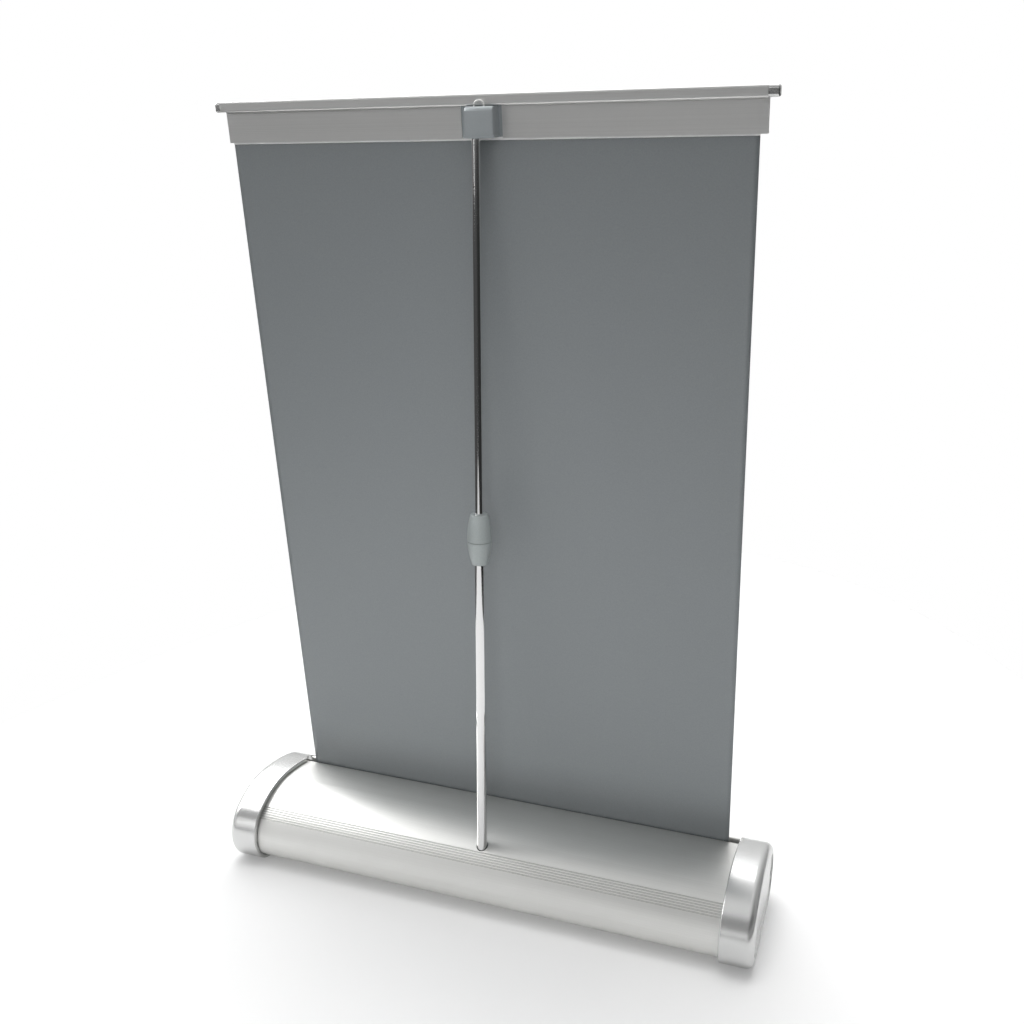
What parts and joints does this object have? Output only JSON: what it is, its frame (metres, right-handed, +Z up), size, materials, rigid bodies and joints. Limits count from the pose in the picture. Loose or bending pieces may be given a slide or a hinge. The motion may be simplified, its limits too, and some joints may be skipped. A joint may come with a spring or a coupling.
{
  "type": "roll-up banner stand",
  "caption": "Desktop roll-up banner stand: a rounded metal base that winds up the film, a telescopic pole behind it, and a top rail that clips over the pole.",
  "frame": {"origin": "centre of the base's footprint, on the surface the stand rests on", "axes": "+Z up; -Y is the front, where the graphic shows; +Y is the pole's side; +X is the stand's own left"},
  "size_m": [0.349, 0.0951, 0.4871],
  "materials": {
    "anodised_aluminium": "satin silver anodised",
    "rail_aluminium": "satin silver anodised",
    "silver_plastic": "glossy metallic silver",
    "plated_steel": "bright plated",
    "plain_steel": "oiled steel",
    "chromed_tube": "polished",
    "grey_plastic": "fine satin",
    "white_plastic": "satin",
    "black_plastic": "satin",
    "black_rubber": "matte",
    "banner_film": "matte grey light-blocking back, plain white front"
  },
  "bodies": {
    "base": {"base_housing": "anodised_aluminium", "left_end_cap": "silver_plastic", "right_end_cap": "silver_plastic", "left_cap_screws": "plated_steel", "right_cap_screws": "plated_steel", "rubber_feet": "black_rubber", "pole_socket": "black_plastic", "spring_shaft": "plain_steel", "spring_anchor": "black_plastic", "torsion_spring": "plain_steel"},
    "roller": {"roller_tube": "anodised_aluminium", "wound_film": "banner_film", "spring_drive_plug": "black_plastic", "roller_bush": "black_plastic", "idle_plug": "black_plastic"},
    "pole_lower": {"pole_foot": "black_plastic", "pole_lower_tube": "chromed_tube", "barrel_lower": "grey_plastic", "lock_collet": "black_plastic"},
    "twist_collar": {"twist_collar": "grey_plastic"},
    "pole_upper": {"pole_upper_rod": "chromed_tube", "rod_guide": "black_plastic", "pole_tip": "chromed_tube"},
    "top_rail": {"rail_back_profile": "rail_aluminium", "left_rail_plug": "silver_plastic", "right_rail_plug": "silver_plastic", "grip_strip": "white_plastic", "pole_clip": "silver_plastic", "clip_loop": "plated_steel", "banner_sheet": "banner_film"},
    "rail_front": {"rail_front_profile": "rail_aluminium"}
  },
  "joints": [
    {"name": "pole_lift", "type": "slide", "parent": "base", "child": "pole_lower", "axis": [0, 0, 1], "range_m": [0, 0.02]},
    {"name": "twist_lock", "type": "hinge", "parent": "pole_lower", "child": "twist_collar", "pos_m": [-0.0015, 0.0283, 0.2441], "axis": [0, 0, 1], "range_deg": [0, 90]},
    {"name": "pole_telescope", "type": "slide", "parent": "pole_lower", "child": "pole_upper", "axis": [0, 0, 1], "range_m": [-0.18, 0], "deforming": ["banner_sheet"]},
    {"name": "rail_unhook", "type": "slide", "parent": "pole_upper", "child": "top_rail", "axis": [0, 0, 1], "range_m": [0, 0.013]},
    {"name": "rail_clamp_open", "type": "hinge", "parent": "top_rail", "child": "rail_front", "pos_m": [0.0007, 0.0288, 0.4841], "axis": [-1, 0, 0], "range_deg": [0, 35]},
    {"name": "roller_spin", "type": "hinge", "parent": "base", "child": "roller", "pos_m": [0.0012, -0.0166, 0.022], "axis": [1, 0, 0], "range_deg": [0, 859.5]}
  ],
  "couplings": [
    {"joint": "roller_spin", "follows": "pole_telescope", "rad_per_m": -83.333}
  ]
}
